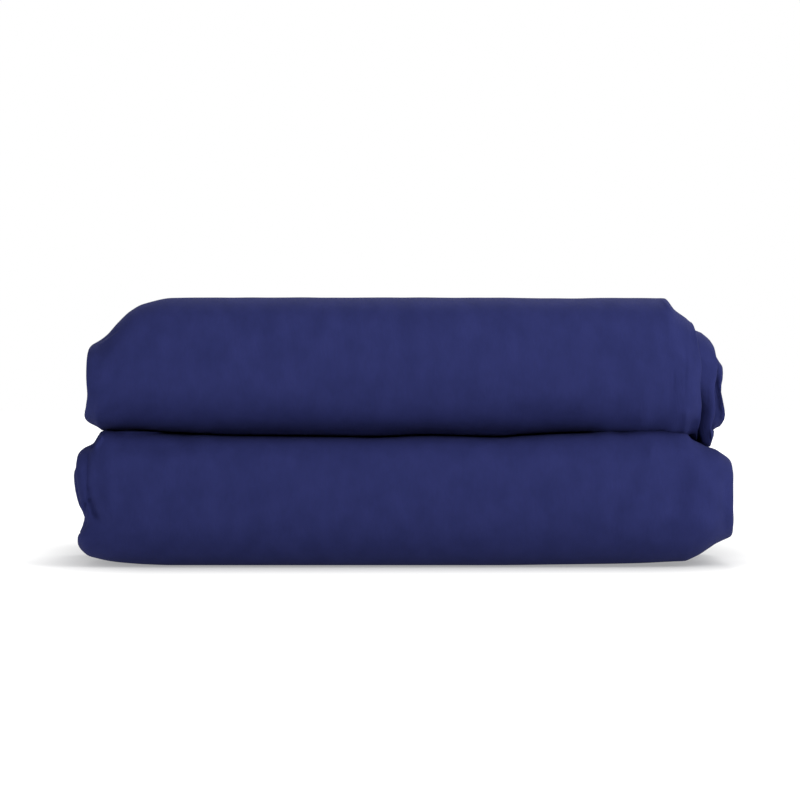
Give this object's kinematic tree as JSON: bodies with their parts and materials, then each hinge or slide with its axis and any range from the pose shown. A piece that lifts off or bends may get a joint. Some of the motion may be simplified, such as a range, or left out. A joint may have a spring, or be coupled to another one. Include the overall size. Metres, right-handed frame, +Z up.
{
  "type": "folded flat sheet",
  "caption": "Navy brushed flat bed sheet, folded for the shelf into two fat rounded folds that lie one on the other and join at the back.",
  "frame": {"origin": "on the surface it lies on, under the middle of the folded packet", "axes": "+X along the folds to the right as seen from the front, -Y towards the front where the two folds show, +Z up"},
  "size_m": [0.2926, 0.1736, 0.1196],
  "materials": {
    "cloth": "brushed, matt, plain navy"
  },
  "bodies": {
    "root": {"sheet": "cloth"}
  },
  "joints": []
}
